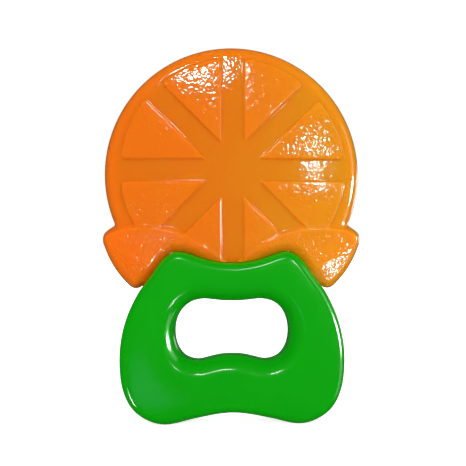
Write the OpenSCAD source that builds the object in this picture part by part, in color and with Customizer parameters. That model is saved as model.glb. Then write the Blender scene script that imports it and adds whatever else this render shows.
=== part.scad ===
// Water-filled teething ring: a soft citrus-slice chewing head held by a loop handle.
// +Z runs up the length of the teether, the front faces -Y, and X is the width.
// The origin is at the middle of the base, where the handle's two feet touch the ground.
// The head is two moulded shells welded along y = 0, full of water and closed by a plug.
// The handle is two moulded shells that meet at y = 0 and pin the head's tab between them.

/* [Chewing head] */
// Radius of the round slice
slice_r = 39; // [38:0.2:39.4]
// Height of the slice's centre above the ground
slice_z = 76; // [75.6:0.1:76.4]
// Half thickness of the head at the hub of the segments
hub_depth = 6.2; // [5.6:0.1:6.6]
// How far the domed face falls from the hub to the rim
dome_fall = 2.2; // [1.6:0.1:2.4]
// Width of the rounded edge around the head
edge_round = 3.2; // [2.6:0.1:3.4]
// Wall thickness of the soft shells
head_wall = 1.4; // [1.2:0.1:1.6]

/* [Segments and leaves] */
// Height of the segments' centre above the ground
hub_z = 77; // [76.6:0.1:77.4]
// Radius of the ring of segments
segment_r = 34; // [33.2:0.2:34.6]
// Width of the channels between the segments
channel_w = 6.9; // [6.3:0.2:7.9]
// Height of the segments above the channels
segment_rise = 0.9; // [0.6:0.1:1.1]
// Height of the leaves above the channels
leaf_rise = 1.5; // [1.2:0.1:1.7]

/* [Tab and filling neck] */
// Thickness of the tab inside the handle
tab_t = 3.2; // [2.6:0.2:3.6]
// Height of the tab's lower edge above the ground
tab_z = 41.7; // [41.5:0.1:42]
// Outer diameter of the filling neck
neck_d = 5.4; // [5.2:0.1:5.6]
// Diameter of the filling hole
fill_d = 2.8; // [2.4:0.1:3]

/* [Handle] */
// Depth of the handle, front face to back face
handle_depth = 15; // [14.5:0.1:15.5]
// Radius of the rounded outer edges
handle_round = 3; // [2.6:0.1:3.2]
// Radius of the rounded edges of the finger opening
opening_round = 4.6; // [3.6:0.1:4.8]
// Wall thickness of the handle's shells
handle_wall = 2; // [1.8:0.1:2.2]
// Diameter of the locating pins
pin_d = 3; // [2.6:0.1:3.2]

/* [Hidden] */
$fn = 64;

soft_orange = [0.94, 0.46, 0.09];
water_tint = [0.98, 0.80, 0.55];
plug_orange = [0.90, 0.50, 0.16];
leaf_green = [0.07, 0.62, 0.09];

fit_gap = 0.2;      // between the head and the handle
pin_gap = 0.05;     // between a pin and its socket, all round
water_gap = 0.05;   // between the water and the shells
boss_wall = 1.3;    // around a locating pin's socket
pin_reach = 2.8;    // how far a locating pin runs into its socket
plug_len = 5.5;     // of the plug's stem inside the filling hole
flange_t = 1.2;     // thickness of the plug's flange
segment_end = 4.4;  // how far the lowest segments stop above the handle
curve_steps = 3;    // chords between two points of an outline

// Right half of the handle's outline, from the top of the middle to the bottom of the middle.
handle_half = [[0, 49], [7.8, 50], [16.1, 52.6], [20.8, 50.4], [24.9, 44.9],
               [28.6, 39.8], [31.9, 32.9], [33.8, 25.5], [34.2, 18.2], [33.4, 11.2],
               [30.8, 5.3], [26.1, 1.5], [19.8, 0], [10.8, 2], [0, 3.6]];
// Right half of the finger opening, with a point for each point of the outline.
opening_half = [[0, 37.3], [3.2, 37.4], [6.1, 37.7], [9.1, 37.9], [12.6, 37],
                [15.5, 34.5], [17.1, 31], [17.5, 27.3], [16.8, 23.5], [14.9, 20.5],
                [12.2, 19.1], [9.6, 18.9], [6.7, 19.6], [3.4, 20.3], [0, 20.5]];
// Right leaf's outline: from the tip beside the middle over the top to the notch in the
// slice, down its free edge, and back along the handle.
leaf_half = [[2.4, 50.4], [6.2, 53.9], [10.7, 57.2], [15.9, 60.1], [21.4, 61.5],
             [27.6, 61.9], [33.2, 61.2], [37.2, 59.4], [39.6, 56.6], [39.2, 53.8],
             [37.6, 50.2], [35.2, 46.2], [32.2, 42.7], [30.1, 41.2], [28.1, 41.8],
             [25.4, 45], [21.3, 50.2], [16.2, 52.5], [7.8, 50.2]];
// Right half of the water space's outline.
water_half = [[0, 111.2], [13.6, 108.4], [25, 100.8], [32.6, 89.4], [35, 76],
              [33.8, 66.8], [30.6, 59.6], [26.4, 56.2], [21, 55.8], [15.5, 55.8],
              [8, 53.7], [0, 52.8]];

// Where the pins are, in X and Z. The first pair passes through the head's tab.
tab_pins = [[-11.8, 45.6], [11.8, 45.6]];
foot_pins = [[-21.6, 11.2], [21.6, 11.2]];

// The point that the right leaf's rings close in on.
leaf_centre = [23, 57.6];

// Rings of a leaf: the share of the outline's size and the share of the full height.
leaf_rings = [[1, 0.2], [0.985, 0.5], [0.955, 0.72], [0.91, 0.87], [0.84, 0.96], [0.7, 1],
              [0.4, 1]];
// Angles of the rounded edges' facets.
round_angles = [0, 22.5, 45, 67.5, 90];
// Distances from the slice's centre, as shares, where the face's dome has its rings.
dome_shares = [0.8, 0.62, 0.42, 0.22, 0];

// ---- curves ----

// A point on the smooth curve through a, b, c and d, at share t of the way from b to c.
function smooth(a, b, c, d, t) =
    0.5 * (2 * b + (c - a) * t + (2 * a - 5 * b + 4 * c - d) * t * t
           + (3 * b - a - 3 * c + d) * t * t * t);

// A closed smooth curve through points.
function closed_curve(points, steps) =
    let (n = len(points))
    [for (i = [0 : n - 1], s = [0 : steps - 1])
        smooth(points[(i + n - 1) % n], points[i], points[(i + 1) % n],
               points[(i + 2) % n], s / steps)];

function backwards(points) = [for (i = [len(points) - 1 : -1 : 0]) points[i]];
function flipped(points) = [for (p = points) [-p[0], p[1]]];

// A whole outline, clockwise from the top, from its right half.
function both_sides(half) =
    concat(half, flipped([for (i = [len(half) - 2 : -1 : 1]) half[i]]));

// The unit vector that points out of a clockwise closed outline at point i.
function outward(points, i) =
    let (n = len(points), d = points[(i + 1) % n] - points[(i + n - 1) % n])
    [-d[1], d[0]] / norm(d);

// An outline moved inwards by d, or outwards where d is negative.
function inset(points, d) =
    [for (i = [0 : len(points) - 1]) points[i] - d * outward(points, i)];

// ---- outlines ----

handle_outline = closed_curve(both_sides(handle_half), curve_steps);
opening_outline = closed_curve(both_sides(opening_half), curve_steps);
water_outline = closed_curve(both_sides(water_half), curve_steps);

tab_half_w = 18.2;
tab_outline = [[-tab_half_w, 53.4], [tab_half_w, 53.4], [tab_half_w, tab_z + 3],
               [tab_half_w - 3, tab_z], [3 - tab_half_w, tab_z], [-tab_half_w, tab_z + 3]];

// ---- the head's face ----

slice_centre = [0, slice_z];

// Height of the face's dome above the welded plane.
function dome(p) = hub_depth - dome_fall * pow(norm(p - slice_centre) / slice_r, 2);

// Half of the slice's section: the edge rounds up into the dome, lifted by rise.
function slice_profile(rise) =
    let (flat = slice_r - edge_round, rim = dome(slice_centre + [flat, 0]) + rise)
    concat([[0, 0]],
           [for (a = round_angles) [flat + edge_round * cos(a), rim * sin(a)]],
           [for (s = dome_shares) [flat * s, dome(slice_centre + [flat * s, 0]) + rise]]);

// ---- solids from rings ----

// Faces of a stack of rings with n points each. In a loop the last ring joins the first.
function ring_faces(rings, n, loop) =
    [for (r = [0 : rings - (loop ? 1 : 2)], i = [0 : n - 1])
        let (a = r * n, b = (r + 1) % rings * n, j = (i + 1) % n)
        each [[a + i, a + j, b + j], [a + i, b + j, b + i]]];

// A mound on the welded plane: each ring is the outline shrunk towards a centre and raised.
module mound(outline, centre, rings, rise) {
    n = len(outline);
    foot = [for (p = outline) [p[0], p[1], 0]];
    raised = [for (r = rings, p = outline)
        let (q = centre + (p - centre) * r[0]) [q[0], q[1], r[1] * (dome(q) + rise)]];
    tips = [[centre[0], centre[1], dome(centre) + rise], [centre[0], centre[1], 0]];
    last = len(rings) * n;
    polyhedron(concat(foot, raised, tips),
               concat(ring_faces(len(rings) + 1, n, false),
                      [for (i = [0 : n - 1]) [last + i, last + (i + 1) % n, last + n]],
                      [for (i = [0 : n - 1]) [(i + 1) % n, i, last + n + 1]]),
               convexity = 8);
}

// A tube that is closed into a loop: every ring is [outline, height].
module ring_loop(rings) {
    n = len(rings[0][0]);
    polyhedron([for (r = rings, p = r[0]) [p[0], p[1], r[1]]],
               ring_faces(len(rings), n, true), convexity = 12);
}

// ---- the head ----
// Everything below is drawn lying down, with X and Z of the teether as X and Y and with the
// height above the welded or joined plane as Z.

// The round slice with its dome lifted by rise.
module slice(rise) {
    translate(slice_centre) rotate_extrude($fn = 96) polygon(slice_profile(rise));
}

// Outline of one segment between two channels, drawn about the hub.
function segment_outline() =
    let (half = channel_w / 2, tip = half / sin(22.5), far = segment_r - 1.4,
         turn = asin(half / far) + 3)
    concat([[tip + 0.3, 0]],
           [for (s = [0.12, 0.5, 0.9]) segment_side(tip + (far - tip) * s, half)],
           [for (k = [-1, -0.5, 0, 0.5, 1])
               (abs(k) == 1 ? far : segment_r) * [cos(k * (22.5 - turn)),
                                                  -sin(k * (22.5 - turn))]],
           [for (s = [0.9, 0.5, 0.12])
               let (p = segment_side(tip + (far - tip) * s, half)) [p[0], -p[1]]]);

// A point beside a channel, at distance s from the hub along it.
function segment_side(s, half) =
    [s * cos(22.5) + half * sin(22.5), s * sin(22.5) - half * cos(22.5)];

module segments() {
    shape = closed_curve(segment_outline(), 2);
    difference() {
        intersection() {
            translate([0, hub_z, 1]) linear_extrude(9)
                for (k = [0 : 7]) rotate(22.5 + 45 * k) polygon(shape);
            slice(segment_rise);
        }
        linear_extrude(20) polygon(inset(handle_outline, -segment_end));
    }
}

module leaf(side) {
    outline = closed_curve(leaf_half, 2);
    mound(side > 0 ? outline : backwards(flipped(outline)),
          [side * leaf_centre[0], leaf_centre[1]], leaf_rings, leaf_rise);
}

// The slice with its segments and leaves, cut to sit on the handle's top edge.
module seated_face() {
    difference() {
        union() {
            slice(0);
            segments();
            leaf(1);
            leaf(-1);
        }
        translate([0, 0, -1]) linear_extrude(20) polygon(inset(handle_outline, -fit_gap));
    }
}

// The space for the water, smaller all round by gap.
module water_space(gap) {
    intersection() {
        slice(-head_wall - gap);
        linear_extrude(20) polygon(inset(water_outline, gap));
    }
}

// The half of an upright round bar that lies above the plane, from height z0 to z1.
module half_bar(d, z0, z1) {
    intersection() {
        translate([0, z0, 0]) rotate([-90, 0, 0]) cylinder(d = d, h = z1 - z0);
        translate([-d, z0, 0]) cube([2 * d, z1 - z0, d]);
    }
}

module head_half() {
    difference() {
        union() {
            seated_face();
            linear_extrude(tab_t / 2) polygon(tab_outline);
            half_bar(neck_d, tab_z, 51.4);
        }
        water_space(0);
        translate([0, tab_z - 1, 0]) rotate([-90, 0, 0]) cylinder(d = fill_d, h = 14);
        for (p = tab_pins)
            translate([p[0], p[1], -1]) cylinder(d = pin_d + 0.4, h = tab_t + 2);
    }
}

module water() {
    for (m = [0, 1]) mirror([0, 0, m]) water_space(water_gap);
    translate([0, tab_z + plug_len, 0])
        rotate([-90, 0, 0]) cylinder(d = fill_d - 2 * water_gap, h = 54.2 - tab_z - plug_len);
}

module plug() {
    translate([0, tab_z - flange_t, 0]) rotate([-90, 0, 0]) {
        cylinder(d = neck_d - 0.4, h = flange_t);
        cylinder(d = fill_d, h = flange_t + plug_len - water_gap);
    }
}

// ---- the handle ----

handle_half_d = handle_depth / 2;

// A rounded side of the handle: how far in and how high each ring is.
function round_side(r) =
    [for (a = round_angles) [r * (1 - cos(a)), handle_half_d - r * (1 - sin(a))]];

// The side of the space inside, one wall in from a rounded side.
function hollow_side(r) =
    let (top = handle_half_d - handle_wall, q = r - handle_wall)
    concat([[handle_wall, 0]],
           [for (a = [0, 45, 90]) [r - q * cos(a), top - q * (1 - sin(a))]]);

module handle_half_shell() {
    ring_loop(concat(
        [[handle_outline, 0]],
        [for (s = round_side(handle_round)) [inset(handle_outline, s[0]), s[1]]],
        [for (s = backwards(round_side(opening_round))) [inset(opening_outline, -s[0]), s[1]]],
        [[opening_outline, 0]],
        [for (s = hollow_side(opening_round)) [inset(opening_outline, -s[0]), s[1]]],
        [for (s = backwards(hollow_side(handle_round))) [inset(handle_outline, s[0]), s[1]]]));
}

// The slot that lets the tab and the filling neck through the handle's top edge.
module tab_slot() {
    translate([0, 0, -1]) linear_extrude(tab_t / 2 + fit_gap + 1)
        polygon(inset(tab_outline, -fit_gap));
    translate([0, tab_z, 0]) rotate([-90, 0, 0])
        cylinder(d = neck_d + 2 * fit_gap, h = 12);
}

// A boss that stands on the inside of the face and reaches down to height low.
module boss(p, low) {
    translate([p[0], p[1], low])
        cylinder(d = pin_d + 2 * boss_wall, h = handle_half_d - handle_wall + 0.5 - low);
}

tab_face = tab_t / 2 + fit_gap;

module handle_socket_half() {
    difference() {
        union() {
            difference() {
                handle_half_shell();
                tab_slot();
            }
            for (p = tab_pins) boss(p, tab_face);
            for (p = foot_pins) boss(p, 0);
        }
        for (p = tab_pins) translate([p[0], p[1], tab_face - 1])
            cylinder(d = pin_d + 2 * pin_gap, h = pin_reach + 1.3);
        for (p = foot_pins) translate([p[0], p[1], -1])
            cylinder(d = pin_d + 2 * pin_gap, h = pin_reach + 1.3);
    }
}

module handle_pin_half() {
    difference() {
        handle_half_shell();
        tab_slot();
    }
    for (p = tab_pins) {
        boss(p, tab_face);
        translate([p[0], p[1], -tab_face - pin_reach])
            cylinder(d = pin_d, h = 2 * tab_face + pin_reach + 1);
    }
    for (p = foot_pins) {
        boss(p, 0);
        translate([p[0], p[1], -pin_reach]) cylinder(d = pin_d, h = pin_reach + 1);
    }
}

// ---- the pieces where they belong ----

module to_front() { rotate([90, 0, 0]) children(); }
module to_rear() { mirror([0, 1, 0]) to_front() children(); }

module head_front_shell() { color(soft_orange) to_front() head_half(); }
module head_rear_shell() { color(soft_orange) to_rear() head_half(); }
module cooling_water() { color(water_tint) to_front() water(); }
module filling_plug() { color(plug_orange) to_front() plug(); }
module handle_front_shell() { color(leaf_green) to_front() handle_socket_half(); }
module handle_rear_shell() { color(leaf_green) to_rear() handle_pin_half(); }

head_front_shell();
head_rear_shell();
cooling_water();
filling_plug();
handle_front_shell();
handle_rear_shell();
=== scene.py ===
"""The looks of a water-filled teething ring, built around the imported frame.

Sizes are in millimetres until a mesh is made. An outline is a list of (x, z) points seen from
the front, clockwise from the top, and depth is how far a surface stands from the plane y = 0
where the two halves of the head and of the handle meet. The front half lies towards -Y.
"""

import math

import bmesh
import bpy
import numpy as np
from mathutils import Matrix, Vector
from mathutils.geometry import delaunay_2d_cdt


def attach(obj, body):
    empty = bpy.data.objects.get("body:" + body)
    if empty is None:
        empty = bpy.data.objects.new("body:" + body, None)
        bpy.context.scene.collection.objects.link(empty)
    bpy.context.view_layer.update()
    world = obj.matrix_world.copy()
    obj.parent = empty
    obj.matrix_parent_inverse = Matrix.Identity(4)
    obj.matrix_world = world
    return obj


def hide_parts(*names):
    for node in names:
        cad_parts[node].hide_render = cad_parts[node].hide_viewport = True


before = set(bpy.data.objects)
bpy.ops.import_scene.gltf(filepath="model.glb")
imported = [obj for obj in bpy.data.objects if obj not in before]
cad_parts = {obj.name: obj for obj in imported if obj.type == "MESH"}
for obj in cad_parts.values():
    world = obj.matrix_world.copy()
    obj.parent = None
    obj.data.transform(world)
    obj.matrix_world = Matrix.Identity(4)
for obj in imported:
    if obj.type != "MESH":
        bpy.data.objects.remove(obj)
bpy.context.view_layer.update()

MM = 0.001
FRONT = -1
REAR = 1

# ---- driving dimensions ----
# They are the CAD's, except for the saddle's slope, the gap at the seat, the leaves' edges and
# crease, the handle's two roundings and the crown of its face, which follow the looks.

SLICE_R = 39.0
SLICE_CENTRE = np.array([0.0, 76.0])
HUB = np.array([0.0, 77.0])
HUB_DEPTH = 6.2
DOME_FALL = 2.2
HEAD_EDGE = 3.2
SADDLE_SLOPE_W = 2.3
SEGMENT_R = 34.0
CHANNEL_W = 6.9
SEGMENT_RISE = 0.9
LEAF_RISE = 1.5
HEAD_WALL = 1.4
TAB_HALF_T = 1.6
TAB_HALF_W = 18.2
TAB_Z = 41.7
NECK_R = 2.7
FILL_R = 1.4
HANDLE_HALF_DEPTH = 7.5
HANDLE_ROUND = 2.5
OPENING_ROUND = 4.8
HANDLE_CROWN = 0.55
HANDLE_WALL = 2.0
PIN_R = 1.5
PIN_REACH = 2.8
BOSS_WALL = 1.3
FIT_GAP = 0.2
PIN_GAP = 0.05
SEAT_GAP = 0.04

# Right halves of the outlines, from the top of the middle to the bottom of the middle.
HANDLE_HALF = [(0, 49), (7.8, 50), (16.1, 52.6), (20.8, 50.4), (24.9, 44.9),
               (28.6, 39.8), (31.9, 32.9), (33.8, 25.5), (34.2, 18.2), (33.4, 11.2),
               (30.8, 5.3), (26.1, 1.5), (19.8, 0), (10.8, 2), (0, 3.6)]
OPENING_HALF = [(0, 37.3), (3.2, 37.4), (6.1, 37.7), (9.1, 37.9), (12.6, 37),
                (15.5, 34.5), (17.1, 31), (17.5, 27.3), (16.8, 23.5), (14.9, 20.5),
                (12.2, 19.1), (9.6, 18.9), (6.7, 19.6), (3.4, 20.3), (0, 20.5)]
WATER_HALF = [(0, 111.2), (13.6, 108.4), (25, 100.8), (32.6, 89.4), (35, 76),
              (33.8, 66.8), (30.6, 59.6), (26.4, 56.2), (21, 55.8), (15.5, 55.8),
              (8, 53.7), (0, 52.8)]
# Right leaf's free edge, from the notch in the slice to the handle.
LEAF_FREE_EDGE = [(35.9, 60.1), (37.3, 59.3), (39.1, 57.8), (39.6, 56), (39.1, 53.8),
                  (37.6, 50.2), (35.2, 46.2), (32.4, 42.9), (30.7, 41.4), (29, 41.1),
                  (27.9, 41.6)]
# Upper edge of the right leaf's face where it lies on the slice, from the middle outwards.
LEAF_TOP_EDGE = [(2.6, 50.6), (4.2, 52), (7, 53.8), (10.5, 56.2), (14, 58.1), (17, 59.3),
                 (20.4, 60.1), (24.4, 60.5), (29.8, 60.5), (35, 59.7), (40, 58.2)]
# A straight crease folds the leaf's lower outer corner back.
LEAF_CREASE = ((26.7, 48.2), (37.4, 54.1))
SADDLE_END_Z = 41.7

TAB_PINS = [(-11.8, 45.6), (11.8, 45.6)]
FOOT_PINS = [(-21.6, 11.2), (21.6, 11.2)]


# ---- curves ----

def smooth_curve(points, steps, closed):
    """Points of a Catmull-Rom curve through the given points."""
    p = np.array(points, float)
    if closed:
        a, b, c, d = np.roll(p, 1, 0), p, np.roll(p, -1, 0), np.roll(p, -2, 0)
    else:
        q = np.vstack([p[:1], p, p[-1:]])
        a, b, c, d = q[:-3], q[1:-2], q[2:-1], q[3:]
    t = (np.arange(steps) / steps)[None, :, None]
    a, b, c, d = (v[:, None, :] for v in (a, b, c, d))
    curve = 0.5 * (2 * b + (c - a) * t + (2 * a - 5 * b + 4 * c - d) * t ** 2
                   + (3 * b - a - 3 * c + d) * t ** 3)
    curve = curve.reshape(-1, 2)
    return curve if closed else np.vstack([curve, p[-1:]])


def both_sides(half):
    """A whole outline from its right half, whose ends lie on the middle line."""
    half = np.array(half, float)
    return np.vstack([half, (half * (-1, 1))[-2:0:-1]])


def both_sides_open(half):
    """An open line across the middle from its right half, whose first point is the middle."""
    return np.vstack([(half * (-1, 1))[:0:-1], half])


def softened(loop, passes):
    """A closed loop with its small corners rounded."""
    for _ in range(passes):
        loop = 0.25 * np.roll(loop, 1, 0) + 0.5 * loop + 0.25 * np.roll(loop, -1, 0)
    return loop


def respaced(loop, spacing):
    """A closed loop with evenly spaced points."""
    ends = np.vstack([loop, loop[:1]])
    along = np.concatenate([[0], np.cumsum(np.linalg.norm(np.diff(ends, axis=0), axis=1))])
    count = int(round(along[-1] / spacing / 2)) * 2
    at = np.arange(count) * along[-1] / count
    return np.column_stack([np.interp(at, along, ends[:, k]) for k in (0, 1)])


def outward(loop):
    """Unit vectors that point out of a clockwise loop."""
    d = np.roll(loop, -1, 0) - np.roll(loop, 1, 0)
    d /= np.linalg.norm(d, axis=1, keepdims=True)
    return np.column_stack([-d[:, 1], d[:, 0]])


def inset(loop, distance):
    """A clockwise loop moved inwards by a distance, or outwards if it is negative."""
    return loop - np.asarray(distance).reshape(-1, 1) * outward(loop)


def line_distance(points, line, signed=False):
    """Distance from each point to an open line. Signed is positive to the right of it."""
    a, b = line[:-1], line[1:]
    ab = b - a
    length2 = (ab ** 2).sum(1)
    out = np.empty(len(points))
    for start in range(0, len(points), 4000):
        p = points[start:start + 4000, None, :]
        t = np.clip(((p - a) * ab).sum(2) / length2, 0, 1)
        off = p - a - t[..., None] * ab
        d2 = (off ** 2).sum(2)
        near = d2.argmin(1)
        rows = np.arange(len(near))
        d = np.sqrt(d2[rows, near])
        if signed:
            cross = ab[near, 1] * off[rows, near, 0] - ab[near, 0] * off[rows, near, 1]
            d = np.where(cross < 0, -d, d)
        out[start:start + 4000] = d
    return out


def inside(points, loop):
    """Which points lie inside a closed loop."""
    x, z = points[:, :1], points[:, 1:]
    a, b = loop, np.roll(loop, -1, 0)
    out = np.zeros(len(points), bool)
    for start in range(0, len(points), 4000):
        px, pz = x[start:start + 4000], z[start:start + 4000]
        crosses = (a[:, 1] > pz) != (b[:, 1] > pz)
        with np.errstate(divide="ignore", invalid="ignore"):
            at = a[:, 0] + (pz - a[:, 1]) * (b[:, 0] - a[:, 0]) / (b[:, 1] - a[:, 1])
        out[start:start + 4000] = (crosses & (px < at)).sum(1) % 2 == 1
    return out


def ease(t):
    """A smooth step from 0 to 1."""
    t = np.clip(t, 0, 1)
    return t * t * (3 - 2 * t)


def soft_min(a, b, blend):
    """The smaller of two values, blended where they are closer than the blend."""
    h = np.clip(0.5 + 0.5 * (b - a) / blend, 0, 1)
    return b + (a - b) * h - blend * h * (1 - h)


def quarter_round(distance, radius):
    """0 to 1 up a rounded edge, as the distance from the edge grows to the radius."""
    return np.sqrt(np.clip(1 - (1 - np.clip(distance / radius, 0, 1)) ** 2, 0, 1))


# ---- outlines ----

CURVE_STEPS = 24
handle_loop = softened(smooth_curve(both_sides(HANDLE_HALF), CURVE_STEPS, True), 40)
opening_loop = softened(smooth_curve(both_sides(OPENING_HALF), CURVE_STEPS, True), 30)
water_loop = smooth_curve(both_sides(WATER_HALF), 8, True)


def head_outline():
    """The head's whole outline and its saddle, the part that sits on the handle."""
    free = smooth_curve(LEAF_FREE_EDGE, 10, False)
    notch = math.atan2(free[0, 1] - SLICE_CENTRE[1], free[0, 0] - SLICE_CENTRE[0])
    turn = np.linspace(math.pi / 2, notch, 240)[:-1]
    arc = SLICE_CENTRE + SLICE_R * np.column_stack([np.cos(turn), np.sin(turn)])
    seat = inset(handle_loop, -SEAT_GAP)
    seat = seat[:len(seat) // 2]
    seat = seat[(seat[:, 1] > SADDLE_END_Z) & (seat[:, 0] > -1e-6)]
    loop = respaced(both_sides(np.vstack([arc, free, seat[::-1]])), 0.3)
    saddle = both_sides_open(seat)
    away = ease((line_distance(loop, saddle) - 0.4) / 1.5)[:, None]
    return loop + (softened(loop, 6) - loop) * away, saddle


head_loop, saddle_line = head_outline()


def free_line():
    """The head's edge without its saddle, from one side of the handle round to the other."""
    on_saddle = line_distance(head_loop, saddle_line) < 0.35
    order = np.roll(np.arange(len(head_loop)), len(head_loop) // 2)
    return head_loop[order[~on_saddle[order]]]


free_edge = free_line()
leaf_top_edge = smooth_curve(LEAF_TOP_EDGE, 8, False)


# ---- the head's face ----

SEGMENT_STEP_W = 0.6
SEGMENT_SWELL = 0.12
LEAF_STEP_W = 1.7
LEAF_DISH = 0.25
LEAF_EDGE = 2.2
FOLD_SLOPE = 0.16
FOLD_SOFTNESS = 0.3
SADDLE_SHARE = 0.72
SADDLE_MIDDLE_W = 12
SADDLE_ROLL = 0.045
PEBBLE_CELL = 0.75
PEBBLE_HEIGHT = 0.006
RIDGE_PEBBLE_HEIGHT = 0.02
DROP_CELL = 1.5
DROP_HEIGHT = 0.07
DROP_SHARE = 0.14


def dome_depth(p):
    """The slice's domed face, without its segments and leaves."""
    return HUB_DEPTH - DOME_FALL * ((p - SLICE_CENTRE) ** 2).sum(1) / SLICE_R ** 2


def segment_depth(p):
    """How far inside a segment each point is, negative in the channels."""
    v = p - HUB
    rho = np.linalg.norm(v, axis=1)
    angle = (np.arctan2(v[:, 1], v[:, 0]) % (math.pi / 4)) - math.pi / 8
    side_a = rho * np.sin(math.pi / 8 - angle) - CHANNEL_W / 2
    side_b = rho * np.sin(math.pi / 8 + angle) - CHANNEL_W / 2
    return soft_min(soft_min(side_a, side_b, 0.8), SEGMENT_R - rho, 1.6)


def leaf_depth(p):
    """How far inside a leaf each point is, measured from the leaf's upper edge."""
    right = np.column_stack([np.abs(p[:, 0]), p[:, 1]])
    return line_distance(right, leaf_top_edge, signed=True)


def fold_drop(p):
    """How far the folded corner of each leaf falls below the leaf's face."""
    a, b = np.array(LEAF_CREASE)
    along = (b - a) / np.linalg.norm(b - a)
    below = (np.abs(p[:, 0]) - a[0]) * along[1] - (p[:, 1] - a[1]) * along[0]
    return FOLD_SLOPE * FOLD_SOFTNESS * np.logaddexp(0, below / FOLD_SOFTNESS)


def plain_depth(p):
    """The domed face with its segments and leaves, before its edges are rounded."""
    in_segment = segment_depth(p)
    segment = SEGMENT_RISE * ease((in_segment + SEGMENT_STEP_W / 2) / SEGMENT_STEP_W)
    segment += SEGMENT_SWELL * (1 - np.exp(-np.clip(in_segment, 0, None) / 2))
    in_leaf = leaf_depth(p)
    leaf = LEAF_RISE - fold_drop(p) - LEAF_DISH * ease((in_leaf - 1.6) / 5)
    return dome_depth(p) + segment + (leaf - segment) * ease((in_leaf + 0.2) / LEAF_STEP_W)


def edge_share(p):
    """How much of the full depth is left near the head's edges.

    The free edge is rounded, tighter on the leaves than on the slice. Along the saddle the face
    slopes down to the handle, more gently in the middle, and rolls over before it does.
    """
    radius = LEAF_EDGE + (HEAD_EDGE - LEAF_EDGE) * ease((p[:, 1] - 57) / 5)
    free = quarter_round(line_distance(p, free_edge), radius)
    middle = ease(1 - np.abs(p[:, 0]) / SADDLE_MIDDLE_W)
    slope_w = SADDLE_SLOPE_W + 2.5 * middle
    away = line_distance(p, saddle_line)
    climb = soft_min(away / slope_w, np.ones(len(p)), 0.25)
    roll = SADDLE_ROLL * np.exp(-np.clip(away - slope_w, 0, None) / 2.5)
    low = SADDLE_SHARE + 0.1 * middle
    return free * (low + (1 - low) * climb - roll * (1 - middle))


def cell_bumps(p, cell, seed, keep):
    """Round bumps of height 1 scattered one to a cell. Keep is the share of cells used."""
    rng = np.random.default_rng(seed)
    table = rng.random((3, 256, 256))
    base = np.floor(p / cell).astype(int)
    best = np.zeros(len(p))
    for i in (-1, 0, 1):
        for j in (-1, 0, 1):
            u, v = (base[:, 0] + i) % 256, (base[:, 1] + j) % 256
            centre = (base + (i, j) + 0.15
                      + 0.7 * np.column_stack([table[0, u, v], table[1, u, v]])) * cell
            radius = cell * (0.45 + 0.25 * table[2, u, v])
            r2 = ((p - centre) ** 2).sum(1) / radius ** 2
            bump = np.clip(1 - r2, 0, 1) ** 1.5 * (table[2, u, v] < keep)
            best = np.maximum(best, bump)
    return best


def raised_share(p):
    """1 on the segments and leaves, and 0 in the channels."""
    return np.maximum(ease(segment_depth(p) / 1.5), ease(leaf_depth(p) - 1))


def ridge_share(p):
    """1 on the leaves beside the handle, and 0 elsewhere."""
    near = ease((SADDLE_SLOPE_W + 5 - line_distance(p, saddle_line[::3])) / 3)
    return near * ease(leaf_depth(p) - 1)


def skin_texture(p, seed):
    """The gently pebbled skin, with drops on the raised parts."""
    raised = raised_share(p)
    pebbles = PEBBLE_HEIGHT + PEBBLE_HEIGHT * raised + RIDGE_PEBBLE_HEIGHT * ridge_share(p)
    pebbles *= cell_bumps(p, PEBBLE_CELL, seed, 1.0)
    drops = DROP_HEIGHT * cell_bumps(p, DROP_CELL, seed + 1, DROP_SHARE) * raised
    return np.maximum(pebbles, drops)


# ---- meshes ----

SHARP_ANGLE = 40


def triangles(rings, plane, holes=()):
    """Triangles through the plane's points inside the first ring and outside the holes."""
    edges, start = [], 0
    for ring in rings:
        n = len(ring)
        edges += [(start + k, start + (k + 1) % n) for k in range(n)]
        start += n
    out = delaunay_2d_cdt([Vector(p) for p in plane.tolist()], edges, [], 1, 1e-7, True)
    tris = np.array([o[0] for o in out[3]])[np.array(out[2])]
    middle = plane[tris].mean(1)
    keep = inside(middle, rings[0])
    for hole in holes:
        keep &= ~inside(middle, hole)
    return tris[keep]


class Builder:
    """Collects the vertices and faces of one piece, in millimetres."""

    def __init__(self):
        self.verts = []
        self.faces = []
        self.count = 0

    def points(self, plane, depth, side):
        """Adds points at a depth on the front or rear side, and returns their numbers."""
        plane = np.asarray(plane, float)
        depth = np.broadcast_to(np.asarray(depth, float), len(plane))
        self.verts.append(np.column_stack([plane[:, 0], side * depth, plane[:, 1]]))
        self.count += len(plane)
        return np.arange(self.count - len(plane), self.count)

    def band(self, a, b):
        """Joins two closed rings of the same length."""
        a2, b2 = np.roll(a, -1), np.roll(b, -1)
        self.faces.extend(np.column_stack([a, a2, b2, b]).tolist())

    def fan(self, ring, tip):
        """Closes a ring with triangles to one point."""
        self.faces.extend([[int(i), int(j), int(tip)] for i, j in zip(ring, np.roll(ring, -1))])

    def add(self, numbers, triangle_list):
        """Adds triangles whose corners are places in a list of point numbers."""
        self.faces.extend(np.asarray(numbers)[triangle_list].tolist())

    def finish(self, name, material):
        """Makes the object, smooth except at its sharp edges."""
        mesh = bpy.data.meshes.new(name)
        mesh.from_pydata((np.vstack(self.verts) * MM).tolist(), [], self.faces)
        bm = bmesh.new()
        bm.from_mesh(mesh)
        bmesh.ops.recalc_face_normals(bm, faces=bm.faces)
        bm.to_mesh(mesh)
        bm.free()
        mesh.shade_smooth()
        mesh.set_sharp_from_angle(angle=math.radians(SHARP_ANGLE))
        mesh.materials.append(material)
        obj = bpy.data.objects.new(name, mesh)
        bpy.context.scene.collection.objects.link(obj)
        return obj


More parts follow.
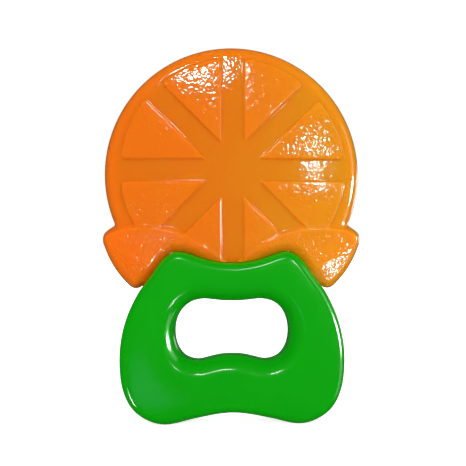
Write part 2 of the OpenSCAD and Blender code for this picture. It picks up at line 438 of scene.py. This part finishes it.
def lattice(loop, spacing, margin):
    """Points of a triangular grid inside a loop, clear of its edge."""
    low, high = loop.min(0), loop.max(0)
    rows = np.arange(low[1], high[1], spacing * math.sqrt(3) / 2)
    grid = []
    for k, z in enumerate(rows):
        x = np.arange(low[0] + spacing / 2 * (k % 2), high[0], spacing)
        grid.append(np.column_stack([x, np.full_like(x, z)]))
    grid = np.vstack(grid)
    grid = grid[inside(grid, loop)]
    closed = np.vstack([loop, loop[:1]])
    return grid[line_distance(grid, closed) > margin]


def plate(b, outline, holes, low, high, side):
    """A flat plate with round holes, between two depths."""
    loops = [np.asarray(outline, float)] + [circle(c, r, 32) for c, r in holes]
    tris = triangles(loops, np.vstack(loops), loops[1:])
    levels = []
    for depth in (low, high):
        rings = [b.points(loop, depth, side) for loop in loops]
        b.add(np.concatenate(rings), tris)
        levels.append(rings)
    for lower, upper in zip(*levels):
        b.band(lower, upper)


def circle(centre, radius, count):
    """A clockwise ring of points."""
    turn = -np.arange(count) * 2 * math.pi / count
    return np.asarray(centre) + radius * np.column_stack([np.cos(turn), np.sin(turn)])


def turned_peg(b, centre, profile, side, count=40):
    """A closed round peg. Its profile is (radius, depth) pairs, from its foot to its tip."""
    rings = [b.points(circle(centre, r, count), d, side) for r, d in profile]
    for lower, upper in zip(rings, rings[1:]):
        b.band(lower, upper)
    for ring, d in ((rings[0], profile[0][1]), (rings[-1], profile[-1][1])):
        b.fan(ring, b.points([centre], d, side)[0])


def socket(b, centre, outer, inner, low, high, floor, side, count=40):
    """A closed tube that stands on a face at depth high, with a blind hole from low."""
    profile = [(inner, low), (outer, low), (outer, high)]
    rings = [b.points(circle(centre, r, count), d, side) for r, d in profile]
    rings.append(b.points(circle(centre, inner, count), floor, side))
    b.band(rings[0], rings[1])
    b.band(rings[1], rings[2])
    b.band(rings[0], rings[3])
    b.fan(rings[2], b.points([centre], high, side)[0])
    b.fan(rings[3], b.points([centre], floor, side)[0])


# ---- the head's shells ----

EDGE_ANGLES = np.radians([0, 6, 12, 18, 24, 30, 36, 42, 48])
SKIN_SPACING = 0.28
WELD_BEAD = 0.22
WELD_LIP = 0.16
WELD_TOP = 0.42
ROOF_ROUND = 0.4
NECK_STEPS = 24


class Skin:
    """The head's face, the same on both sides: rings down its edge and a triangulated middle."""

    def __init__(self):
        self.loops = [inset(head_loop, d) for d in HEAD_EDGE * (1 - np.cos(EDGE_ANGLES))]
        self.edge_depths = [np.maximum(plain_depth(loop) * edge_share(loop), 0.5)
                            for loop in self.loops]
        self.grid = lattice(self.loops[-1], SKIN_SPACING, SKIN_SPACING * 0.6)
        self.depth = plain_depth(self.grid) * edge_share(self.grid)
        self.inner = ease(line_distance(self.grid, free_edge[::2]) / 0.8)
        self.tris = triangles([self.loops[-1]], np.vstack([self.loops[-1], self.grid]))
        self.seam = WELD_BEAD * ease(line_distance(head_loop, saddle_line) / 3)
        self.weld_loop = inset(head_loop, -self.seam)
        self.weld_tris = triangles([self.weld_loop, water_loop],
                                   np.vstack([self.weld_loop, water_loop]), [water_loop])
        self.roof_loop = inset(water_loop, ROOF_ROUND)
        self.roof = lattice(self.roof_loop, 1.6, 0.8)
        self.roof_tris = triangles([self.roof_loop], np.vstack([self.roof_loop, self.roof]))


def head_shell(name, side, seed, skin, material):
    """One half of the head. The seed places its pebbles and drops."""
    b = Builder()
    weld = b.points(skin.weld_loop, 0, side)
    lip = b.points(skin.weld_loop, WELD_LIP, side)
    last = b.points(inset(head_loop, -0.2 * skin.seam), WELD_TOP, side)
    b.band(weld, lip)
    b.band(lip, last)
    for loop, depth in zip(skin.loops[1:], skin.edge_depths[1:]):
        ring = b.points(loop, depth, side)
        b.band(last, ring)
        last = ring
    inner = b.points(skin.grid, skin.depth + skin.inner * skin_texture(skin.grid, seed), side)
    b.add(np.concatenate([last, inner]), skin.tris)

    # the flat weld face, and the hollow that holds the water
    mouth = b.points(water_loop, 0, side)
    b.add(np.concatenate([weld, mouth]), skin.weld_tris)
    hollow = water_depth(water_loop)
    shoulder = b.points(water_loop, hollow - ROOF_ROUND, side)
    ceiling = b.points(skin.roof_loop, hollow, side)
    b.band(mouth, shoulder)
    b.band(shoulder, ceiling)
    roof = b.points(skin.roof, water_depth(skin.roof), side)
    b.add(np.concatenate([ceiling, roof]), skin.roof_tris)

    tab_and_neck(b, side)
    shell = b.finish(name, material)
    mark_skin(shell)
    return shell


def mark_skin(shell):
    """Says for the material how near the handle each point is, for the painted shade there, and
    how beaded and how coarse the skin is.
    """
    plane = np.array([v.co for v in shell.data.vertices])[:, (0, 2)] / MM
    # Painted shade: how much of the deep colour goes on beside the handle.
    shade_by_handle = 1 - ease(line_distance(plane, saddle_line[::3]) / 2.8)
    raised = raised_share(plane)
    on_leaf = ease(leaf_depth(plane) - 1) * (1 - shade_by_handle)
    folded = ease(fold_drop(plane) / 0.1)
    ridge = ridge_share(plane)
    rim = 1 - ease(line_distance(plane, free_edge[::2]) / 3.5)
    coarse = np.maximum(on_leaf * np.maximum(folded, 0.6 * ridge), 0.5 * rim)
    set_attribute(shell, "shade_by_handle", shade_by_handle)
    set_attribute(shell, "beads", 0.2 * raised + on_leaf * (0.15 + 0.3 * ridge + 0.6 * folded))
    set_attribute(shell, "coarse", np.maximum(coarse, 0.2 * raised))


def set_attribute(obj, name, values):
    """Stores a value for each vertex."""
    obj.data.attributes.new(name, "FLOAT", "POINT").data.foreach_set("value", values)


def water_depth(p):
    """The roof of the hollow that holds the water, a wall's thickness below the dome."""
    return dome_depth(p) - HEAD_WALL


def tab_and_neck(b, side):
    """The tab inside the handle, with a hole for each pin, and half of the filling neck."""
    w, z, corner, neck_top = TAB_HALF_W, TAB_Z, 3.0, 49.4
    outline = [(-w, 49.6), (-11, 49.4), (0, 48.6), (11, 49.4), (w, 49.6), (w, z + corner),
               (w - corner, z), (corner - w, z), (-w, z + corner)]
    plate(b, outline, [(c, PIN_R + 0.2) for c in TAB_PINS], 0, TAB_HALF_T, side)
    turn = np.linspace(0, math.pi, NECK_STEPS + 1)
    across = np.concatenate([NECK_R * np.cos(turn), FILL_R * np.cos(turn[::-1])])
    depth = np.concatenate([NECK_R * np.sin(turn), FILL_R * np.sin(turn[::-1])])
    rings = [b.points(np.column_stack([across, np.full_like(across, height)]), depth, side)
             for height in (z, neck_top)]
    b.band(*rings)
    for ring in rings:
        corners = ring[:-1], ring[1:], ring[-2::-1], ring[:0:-1]
        b.faces.extend(np.column_stack(corners)[:NECK_STEPS].tolist())


# ---- the handle's shells ----

ROUND_STEPS = 14
FACE_STEPS = 22
PARTING_CHAMFER = 0.14
HOLLOW_ROUND = 2.0
SLOT_LOW_Z = 44
PIN_CHAMFER = 0.4


def handle_shell(name, side, material):
    """One half of the handle: rings over its outside from the slot to the opening, then back."""
    b = Builder()
    rings = []

    def ring(loop, depth):
        rings.append(b.points(loop, depth, side))

    top = HANDLE_HALF_DEPTH - HANDLE_CROWN
    shoulder = top - HANDLE_ROUND
    across = np.linalg.norm(handle_loop - opening_loop, axis=1)
    slot = slot_depth(handle_loop)
    angles = np.linspace(0, math.pi / 2, ROUND_STEPS)[1:]

    ring(inset(handle_loop, PARTING_CHAMFER), slot)
    ring(handle_loop, np.maximum(slot, PARTING_CHAMFER))
    for share in (0.15, 0.5, 1):
        ring(handle_loop, np.maximum(slot + 0.02, shoulder * share))
    for a in angles:
        d = HANDLE_ROUND * (1 - math.cos(a))
        ring(inset(handle_loop, d), shoulder + HANDLE_ROUND * math.sin(a) + crown(d, across))
    outer = inset(handle_loop, HANDLE_ROUND)
    inner = inset(opening_loop, -OPENING_ROUND)
    for k in range(1, FACE_STEPS):
        t = k / FACE_STEPS
        d = HANDLE_ROUND + (across - HANDLE_ROUND - OPENING_ROUND) * t
        ring(outer + (inner - outer) * t, top + crown(d, across))
    shoulder = top - OPENING_ROUND
    for a in angles[::-1]:
        d = OPENING_ROUND * (1 - math.cos(a))
        ring(inset(opening_loop, -d),
             shoulder + OPENING_ROUND * math.sin(a) + crown(across - d, across))
    for share in (1, 0.5, 0.15):
        ring(opening_loop, shoulder * share)
    ring(opening_loop, PARTING_CHAMFER)
    ring(inset(opening_loop, -PARTING_CHAMFER), 0)

    roof = top - HANDLE_WALL
    cut = 0.3 * HOLLOW_ROUND
    hollow = [(HANDLE_WALL, 0), (HANDLE_WALL, roof - HOLLOW_ROUND),
              (HANDLE_WALL + cut, roof - cut), (HANDLE_WALL + HOLLOW_ROUND, roof)]
    for d, depth in hollow:
        ring(inset(opening_loop, -d), depth)
    for d, depth in hollow[::-1]:
        ring(inset(handle_loop, d), np.maximum(depth, slot))
    for a, c in zip(rings, rings[1:] + rings[:1]):
        b.band(a, c)

    face = HANDLE_HALF_DEPTH - HANDLE_WALL
    for p in TAB_PINS:
        pin_or_socket(b, p, TAB_HALF_T + FIT_GAP, face, side)
    for p in FOOT_PINS:
        pin_or_socket(b, p, 0, face, side)
    return b.finish(name, material)


def crown(distance, across):
    """How much the face stands above its edges, at a distance in from the outline."""
    t = np.clip(distance / across, 0, 1)
    return HANDLE_CROWN * 4 * t * (1 - t)


def slot_depth(loop):
    """Where each outline point's wall starts: the head's tab passes below it at the top."""
    on_top = (loop[:, 1] > SLOT_LOW_Z) * ease((TAB_HALF_W + 0.8 - np.abs(loop[:, 0])) / 0.6)
    return (TAB_HALF_T + FIT_GAP) * on_top


def pin_or_socket(b, centre, low, face, side):
    """The rear half has pins and the front half has the sockets that they fit."""
    outer = PIN_R + BOSS_WALL
    if side == REAR:
        turned_peg(b, centre, [(outer, face), (outer, low)], side)
        tip = -low - PIN_REACH
        pin = [(PIN_R, low + 0.5), (PIN_R, tip + PIN_CHAMFER), (PIN_R - PIN_CHAMFER, tip)]
        turned_peg(b, centre, pin, side)
    else:
        socket(b, centre, outer, PIN_R + PIN_GAP, low, face, low + PIN_REACH + 0.3, side)


# ---- materials ----

def new_material(name):
    """A material with its nodes, its links and its shader."""
    material = bpy.data.materials.new(name)
    material.use_nodes = True
    nodes = material.node_tree.nodes
    return material, nodes, material.node_tree.links, nodes["Principled BSDF"]


def tinted(nodes, links, source, stops):
    """A colour that runs through the stops as the source goes from 0 to 1."""
    ramp = nodes.new("ShaderNodeValToRGB")
    while len(ramp.color_ramp.elements) < len(stops):
        ramp.color_ramp.elements.new(0.5)
    for element, (place, colour) in zip(ramp.color_ramp.elements, stops):
        element.position = place
        element.color = (*colour, 1)
    links.new(source, ramp.inputs["Fac"])
    return ramp.outputs["Color"]


def noise(nodes, links, coords, scale, detail):
    """Smooth noise from 0 to 1, with this many features to a metre."""
    texture = nodes.new("ShaderNodeTexNoise")
    texture.inputs["Scale"].default_value = scale
    texture.inputs["Detail"].default_value = detail
    links.new(coords, texture.inputs["Vector"])
    return texture.outputs["Fac"]


def attribute(nodes, name):
    """A value stored with the mesh's vertices."""
    node = nodes.new("ShaderNodeAttribute")
    node.attribute_name = name
    return node.outputs["Fac"]


def remapped(nodes, links, value, low, high, start=0, end=1, steps="LINEAR"):
    """A value brought from the range start to end into the range low to high."""
    node = nodes.new("ShaderNodeMapRange")
    node.interpolation_type = steps
    node.inputs["From Min"].default_value = start
    node.inputs["From Max"].default_value = end
    node.inputs["To Min"].default_value = low
    node.inputs["To Max"].default_value = high
    links.new(value, node.inputs["Value"])
    return node.outputs["Result"]


def calculated(nodes, links, operation, *terms):
    """The result of a sum whose terms are numbers or sockets."""
    node = nodes.new("ShaderNodeMath")
    node.operation = operation
    for term, socket in zip(terms, node.inputs):
        if isinstance(term, (int, float)):
            socket.default_value = term
        else:
            links.new(term, socket)
    return node.outputs["Value"]


def bumped(nodes, links, height, strength, distance, normal=None):
    """A normal tilted by a height, whose full size in metres is the distance."""
    node = nodes.new("ShaderNodeBump")
    node.inputs["Strength"].default_value = strength
    if isinstance(distance, float):
        node.inputs["Distance"].default_value = distance
    else:
        links.new(distance, node.inputs["Distance"])
    links.new(height, node.inputs["Height"])
    if normal is not None:
        links.new(normal, node.inputs["Normal"])
    return node.outputs["Normal"]


def bead_height(nodes, links, coords):
    """Small scattered beads, as many as the attribute asks for."""
    cells = nodes.new("ShaderNodeTexVoronoi")
    cells.inputs["Scale"].default_value = 1000
    links.new(coords, cells.inputs["Vector"])
    bead = remapped(nodes, links, cells.outputs["Distance"], 0, 1, 0.4, 0, "SMOOTHSTEP")
    lot = nodes.new("ShaderNodeSeparateColor")
    links.new(cells.outputs["Color"], lot.inputs["Color"])
    chosen = calculated(nodes, links, "LESS_THAN", lot.outputs["Red"],
                        attribute(nodes, "beads"))
    return calculated(nodes, links, "MULTIPLY", bead, chosen)


# Painted shade in the soft plastic beside the handle, where the face slopes down to it: a deep
# red at its left, where the slope faces away from the light, and a deep orange at its right.
SADDLE_SHADE_LEFT = (0.95, 0.1, 0.001)
SADDLE_SHADE_RIGHT = (1.0, 0.27, 0.001)


def soft_plastic(name, left, middle, right):
    """Translucent moulded EVA under a pebbled skin, whose colour shifts from left to right as
    painted light: redder on the left and lighter, yellower on the right, where the light falls.
    """
    material, nodes, links, shader = new_material(name)
    coords = nodes.new("ShaderNodeTexCoord").outputs["Object"]
    place = nodes.new("ShaderNodeSeparateXYZ")
    links.new(coords, place.inputs["Vector"])
    # Painted light: across the object the colour runs from the left stop to the right stop,
    # lighter and yellower on the right, where the light falls, with a random cloudiness on top.
    across = remapped(nodes, links, place.outputs["X"], 0, 1, -0.04, 0.04)
    cloud = noise(nodes, links, coords, 45, 2)
    cloud_and_painted_light = calculated(nodes, links, "MULTIPLY_ADD", cloud, 0.3, across)
    colour = tinted(nodes, links, cloud_and_painted_light, [(0.1, left), (0.65, middle), (1.0, right)])
    # Painted shade: a deeper colour mixed in along the slope beside the handle.
    deep = tinted(nodes, links, cloud_and_painted_light, [(0.1, SADDLE_SHADE_LEFT), (1.0, SADDLE_SHADE_RIGHT)])
    # A Mix node has sockets of one name for each type. These are the ones for colours.
    mixed = nodes.new("ShaderNodeMix")
    mixed.data_type = "RGBA"
    links.new(attribute(nodes, "shade_by_handle"), mixed.inputs[0])
    links.new(colour, mixed.inputs[6])
    links.new(deep, mixed.inputs[7])
    links.new(mixed.outputs[2], shader.inputs["Base Color"])
    shader.inputs["Subsurface Weight"].default_value = 0.75
    shader.inputs["Subsurface Radius"].default_value = (1.0, 0.4, 0.1)
    shader.inputs["Subsurface Scale"].default_value = 0.006
    shader.inputs["IOR"].default_value = 1.48
    links.new(remapped(nodes, links, noise(nodes, links, coords, 300, 2), 0.03, 0.06),
              shader.inputs["Roughness"])
    grain_height = remapped(nodes, links, attribute(nodes, "coarse"), 0.00003, 0.00018)
    grain = bumped(nodes, links, noise(nodes, links, coords, 1150, 0), 1.0, grain_height)
    beads = bumped(nodes, links, bead_height(nodes, links, coords), 1.0, 0.00012, grain)
    links.new(beads, shader.inputs["Normal"])
    return material


def hard_plastic(name, deep, light):
    """Glossy moulded polypropylene, with the faint cloudiness of its dye."""
    material, nodes, links, shader = new_material(name)
    coords = nodes.new("ShaderNodeTexCoord").outputs["Object"]
    colour = tinted(nodes, links, noise(nodes, links, coords, 22, 3),
                    [(0.3, deep), (0.7, light)])
    links.new(colour, shader.inputs["Base Color"])
    shader.inputs["Subsurface Weight"].default_value = 0.15
    shader.inputs["Subsurface Radius"].default_value = (0.3, 1.0, 0.3)
    shader.inputs["Subsurface Scale"].default_value = 0.0015
    shader.inputs["IOR"].default_value = 1.49
    links.new(remapped(nodes, links, noise(nodes, links, coords, 120, 3), 0.12, 0.18),
              shader.inputs["Roughness"])
    ripple = noise(nodes, links, coords, 160, 1)
    links.new(bumped(nodes, links, ripple, 0.15, 0.00015), shader.inputs["Normal"])
    return material


def clear_water(name, tint):
    """Clear water with a faintly clouded tint."""
    material, nodes, links, shader = new_material(name)
    coords = nodes.new("ShaderNodeTexCoord").outputs["Object"]
    links.new(tinted(nodes, links, noise(nodes, links, coords, 30, 2),
                     [(0, tint), (1, (1, 1, 1))]), shader.inputs["Base Color"])
    shader.inputs["Transmission Weight"].default_value = 1.0
    shader.inputs["Roughness"].default_value = 0.02
    shader.inputs["IOR"].default_value = 1.33
    return material


# Stops from left to right; the lighter, yellower right stop is painted light.
orange = soft_plastic("soft_orange", (0.99, 0.172, 0.006), (0.99, 0.21, 0.008),
                      (0.97, 0.3, 0.01))
plug_material = soft_plastic("plug_orange", (0.78, 0.2, 0.02), (0.79, 0.22, 0.025),
                             (0.8, 0.24, 0.03))
green = hard_plastic("leaf_green", (0.001, 0.33, 0.0015), (0.0015, 0.4, 0.002))
water = clear_water("cooling_water", (0.98, 0.8, 0.55))


# ---- the pieces ----

def add_piece(piece, node):
    """Puts a piece in place of a CAD node."""
    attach(piece, "root")
    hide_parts(node)


def restyle(node, material):
    """Gives a CAD node that stays a better material."""
    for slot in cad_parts[node].material_slots:
        slot.material = material


head_skin = Skin()
add_piece(head_shell("soft_head_front", FRONT, 11, head_skin, orange),
          "head_front_shell")
add_piece(head_shell("soft_head_rear", REAR, 23, head_skin, orange),
          "head_rear_shell")
add_piece(handle_shell("loop_handle_front", FRONT, green), "handle_front_shell")
add_piece(handle_shell("loop_handle_rear", REAR, green), "handle_rear_shell")
restyle("cooling_water", water)
restyle("filling_plug", plug_material)


# ---- floor, light and camera ----

FLOOR_HALF_W = 3.0
SKY = 0.38
SKY_IN_GLOSS = 0.04
TARGET = Vector((0, 0, 0.06))
SOFTBOX_DISTANCE = 0.8
CAMERA_AZIMUTH = -2
CAMERA_DISTANCE = 0.22
CAMERA_SHIFT = 0.0003
CAMERA_HEIGHT = 0.058
CAMERA_LENS = 54.8


def add_floor():
    """A pale floor that glows a little for the camera and doesn't show in reflections."""
    mesh = bpy.data.meshes.new("floor")
    r = FLOOR_HALF_W
    mesh.from_pydata([(-r, -r, 0), (r, -r, 0), (r, r, 0), (-r, r, 0)], [], [(0, 1, 2, 3)])
    material, nodes, links, shader = new_material("pale_floor")
    rays = nodes.new("ShaderNodeLightPath").outputs
    shader.inputs["Base Color"].default_value = (0.93, 0.93, 0.93, 1)
    shader.inputs["Roughness"].default_value = 0.7
    shader.inputs["Specular IOR Level"].default_value = 0
    shader.inputs["Emission Color"].default_value = (1, 1, 1, 1)
    links.new(remapped(nodes, links, rays["Is Camera Ray"], 0, 0.8),
              shader.inputs["Emission Strength"])
    mesh.materials.append(material)
    floor = bpy.data.objects.new("floor", mesh)
    floor.visible_glossy = False
    bpy.context.scene.collection.objects.link(floor)


def add_world():
    """White all round, but dim in reflections so that the softboxes draw the highlights."""
    world = bpy.data.worlds.new("studio")
    bpy.context.scene.world = world
    world.use_nodes = True
    nodes, links = world.node_tree.nodes, world.node_tree.links
    rays = nodes.new("ShaderNodeLightPath").outputs
    seen = remapped(nodes, links, rays["Is Camera Ray"], SKY, 1.02)
    strength = calculated(nodes, links, "MULTIPLY_ADD", rays["Is Glossy Ray"],
                          SKY_IN_GLOSS - SKY, seen)
    links.new(strength, nodes["Background"].inputs["Strength"])
    nodes["Background"].inputs["Color"].default_value = (1, 1, 1, 1)


def direction(azimuth, elevation):
    """A unit vector from the object. Azimuth 0 is the front, and grows to the right."""
    a, e = math.radians(azimuth), math.radians(elevation)
    return Vector((math.sin(a) * math.cos(e), -math.cos(a) * math.cos(e), math.sin(e)))


def add_panel(name, place, aim, width, height, brightness, colour=(1, 1, 1), spread=180):
    """A panel of light that only shows as a reflection. Its spread is an angle."""
    light = bpy.data.lights.new(name, "AREA")
    light.shape = "RECTANGLE"
    light.size = width
    light.size_y = height
    light.spread = math.radians(spread)
    light.energy = brightness * math.pi * width * height
    light.color = colour
    obj = bpy.data.objects.new(name, light)
    obj.location = place
    obj.rotation_euler = (Vector(aim) - Vector(place)).to_track_quat("-Z", "Y").to_euler()
    obj.visible_diffuse = False
    obj.visible_camera = False
    bpy.context.scene.collection.objects.link(obj)


def add_softbox(name, azimuth, elevation, wide, high, brightness, colour=(1, 1, 1)):
    """A distant panel. Its width and height are the angles that it fills."""
    width, height = (2 * SOFTBOX_DISTANCE * math.tan(math.radians(angle / 2))
                     for angle in (wide, high))
    place = TARGET + direction(azimuth, elevation) * SOFTBOX_DISTANCE
    add_panel(name, place, TARGET, width, height, brightness, colour)


def add_card(name, place, aim, width, height, spread, brightness):
    """A small panel near the object, with a grid that narrows its beam."""
    add_panel(name, place, aim, width, height, brightness, spread=spread)


def add_soft_sun(name, azimuth, elevation, strength):
    """A broad soft light that models the form and draws no highlight."""
    light = bpy.data.lights.new(name, "SUN")
    light.energy = strength
    light.angle = math.radians(60)
    obj = bpy.data.objects.new(name, light)
    obj.rotation_euler = direction(azimuth, elevation).to_track_quat("Z", "Y").to_euler()
    obj.visible_glossy = False
    bpy.context.scene.collection.objects.link(obj)


def add_camera():
    """A level camera close to the object, a little to the left of its front."""
    camera = bpy.data.cameras.new("camera")
    camera.sensor_width = 36
    camera.lens = CAMERA_LENS
    camera.clip_start = 0.01
    obj = bpy.data.objects.new("camera", camera)
    turn = math.radians(CAMERA_AZIMUTH)
    obj.location = (CAMERA_DISTANCE * math.sin(turn) + CAMERA_SHIFT,
                    -CAMERA_DISTANCE * math.cos(turn), CAMERA_HEIGHT)
    obj.rotation_euler = (math.radians(90), 0, turn)
    bpy.context.scene.collection.objects.link(obj)
    bpy.context.scene.camera = obj


add_floor()
add_world()
add_soft_sun("key", -15, 33, 1.42)
add_soft_sun("fill", 40, 20, 0.7)
add_soft_sun("back", 190, 40, 1.1)
add_softbox("top_softbox", -5.5, 27, 12, 2.6, 56)
add_softbox("right_softbox", 18.6, 10, 2.0, 7, 60)
add_softbox("side_softbox", 70, -2, 28, 60, 1.8)
add_softbox("cool_softbox", -11, -18, 11, 9, 0.8, (0.4, 0.7, 1.0))
add_softbox("back_softbox", 138, 0, 16, 14, 3)
add_card("side_card", (0.27, -0.098, 0.01), (0, 0, 0.004), 0.14, 0.14, 20, 2.6)
add_card("leaf_card", (0.078, -0.085, 0.003), (0.032, -0.006, 0.048), 0.024, 0.024, 24, 1.7)
add_card("ridge_card", (0.001, -0.064, 0.017), (-0.031, -0.006, 0.056), 0.02, 0.02, 12, 2)
add_card("foot_card", (-0.091, -0.07, -0.038), (-0.033, -0.006, 0.012), 0.014, 0.03, 20, 1)
add_camera()
bpy.context.scene.view_settings.view_transform = "Standard"
